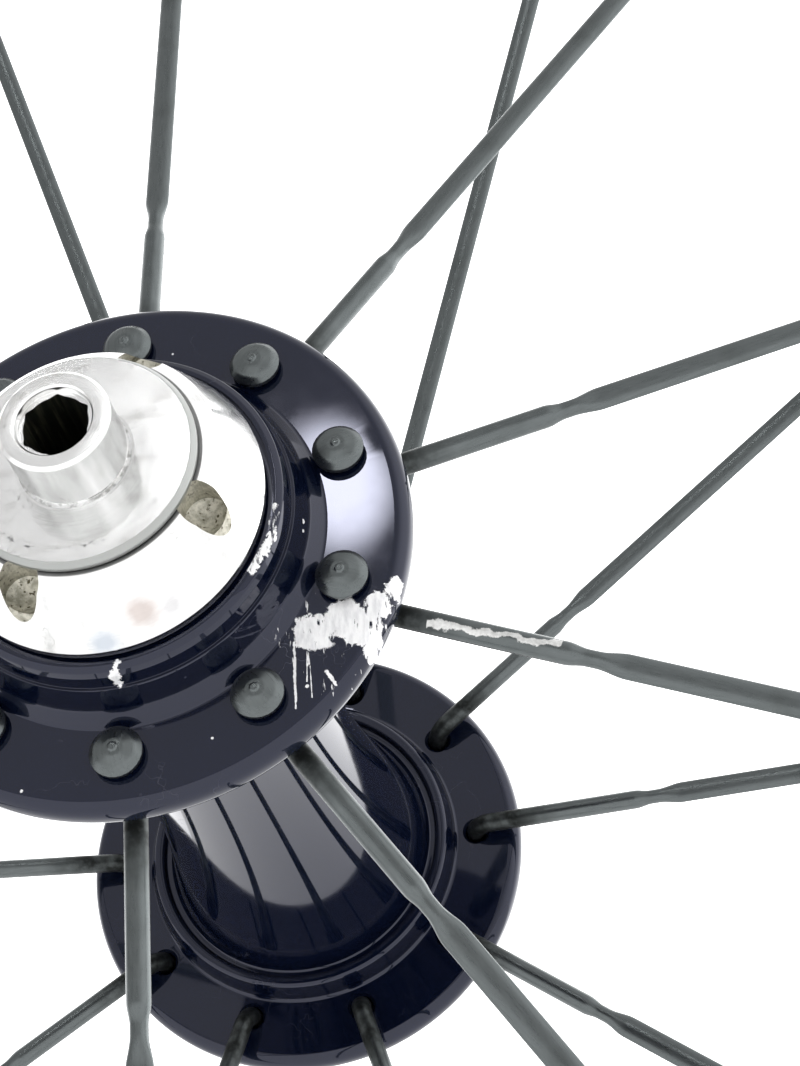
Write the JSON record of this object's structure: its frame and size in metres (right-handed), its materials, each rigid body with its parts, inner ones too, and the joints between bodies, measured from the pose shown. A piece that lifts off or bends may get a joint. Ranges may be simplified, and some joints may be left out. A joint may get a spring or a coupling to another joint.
{
  "type": "bicycle front hub with spokes",
  "caption": "Front wheel hub on sealed bearings with flanged shell, quick-release axle, preload nut and radial bladed spokes for lacing to a rim.",
  "frame": {"origin": "middle of the hub, on its axis, halfway between the locknut faces", "axes": "+Y along the hub axis from the end with the adjusting nut to the other end, +Z along near spoke 0, +X along far spoke 2"},
  "size_m": [0.5362, 0.111, 0.5362],
  "materials": {
    "shell_gloss_black": "gloss black coat over forged alloy",
    "polished_alloy": "polished",
    "axle_alloy": "satin",
    "spoke_steel": "satin dark",
    "bearing_steel": "ground and polished",
    "cage_nylon": "matt",
    "seal_rubber": "matt"
  },
  "bodies": {
    "axle": {"axle_core": "axle_alloy", "near_axle_end": "polished_alloy", "far_axle_end": "polished_alloy", "near_bearing_inner_race": "bearing_steel", "far_bearing_inner_race": "bearing_steel", "far_collar": "polished_alloy"},
    "hub": {"hub_shell": "shell_gloss_black", "near_bearing_outer_race": "bearing_steel", "far_bearing_outer_race": "bearing_steel", "near_bearing_inboard_seal": "seal_rubber", "near_bearing_outboard_seal": "seal_rubber", "far_bearing_inboard_seal": "seal_rubber", "far_bearing_outboard_seal": "seal_rubber", "near_spoke_00": "spoke_steel", "near_spoke_01": "spoke_steel", "near_spoke_02": "spoke_steel", "near_spoke_03": "spoke_steel", "near_spoke_04": "spoke_steel", "near_spoke_05": "spoke_steel", "near_spoke_06": "spoke_steel", "near_spoke_07": "spoke_steel", "near_spoke_08": "spoke_steel", "near_spoke_09": "spoke_steel", "far_spoke_00": "spoke_steel", "far_spoke_01": "spoke_steel", "far_spoke_02": "spoke_steel", "far_spoke_03": "spoke_steel", "far_spoke_04": "spoke_steel", "far_spoke_05": "spoke_steel", "far_spoke_06": "spoke_steel", "far_spoke_07": "spoke_steel", "far_spoke_08": "spoke_steel", "far_spoke_09": "spoke_steel"},
    "near_ball_set": {"near_bearing_cage": "cage_nylon", "near_bearing_balls": "bearing_steel"},
    "far_ball_set": {"far_bearing_cage": "cage_nylon", "far_bearing_balls": "bearing_steel"},
    "preload_nut": {"adjusting_nut": "polished_alloy"}
  },
  "joints": [
    {"name": "hub_spin", "type": "hinge", "parent": "axle", "child": "hub", "pos_m": [0, 0, 0], "axis": [0, 1, 0], "continuous": true},
    {"name": "near_ball_set_spin", "type": "hinge", "parent": "axle", "child": "near_ball_set", "pos_m": [0, -0.0385, 0], "axis": [0, 1, 0], "continuous": true},
    {"name": "far_ball_set_spin", "type": "hinge", "parent": "axle", "child": "far_ball_set", "pos_m": [0, 0.0385, 0], "axis": [0, 1, 0], "continuous": true},
    {"name": "preload_nut_turn", "type": "hinge", "parent": "axle", "child": "preload_nut", "pos_m": [0, -0.045, 0], "axis": [0, -1, 0], "range_deg": [0, 36]}
  ],
  "couplings": [
    {"joint": "near_ball_set_spin", "follows": "hub_spin", "ratio": 0.58333},
    {"joint": "far_ball_set_spin", "follows": "hub_spin", "ratio": 0.58333}
  ]
}
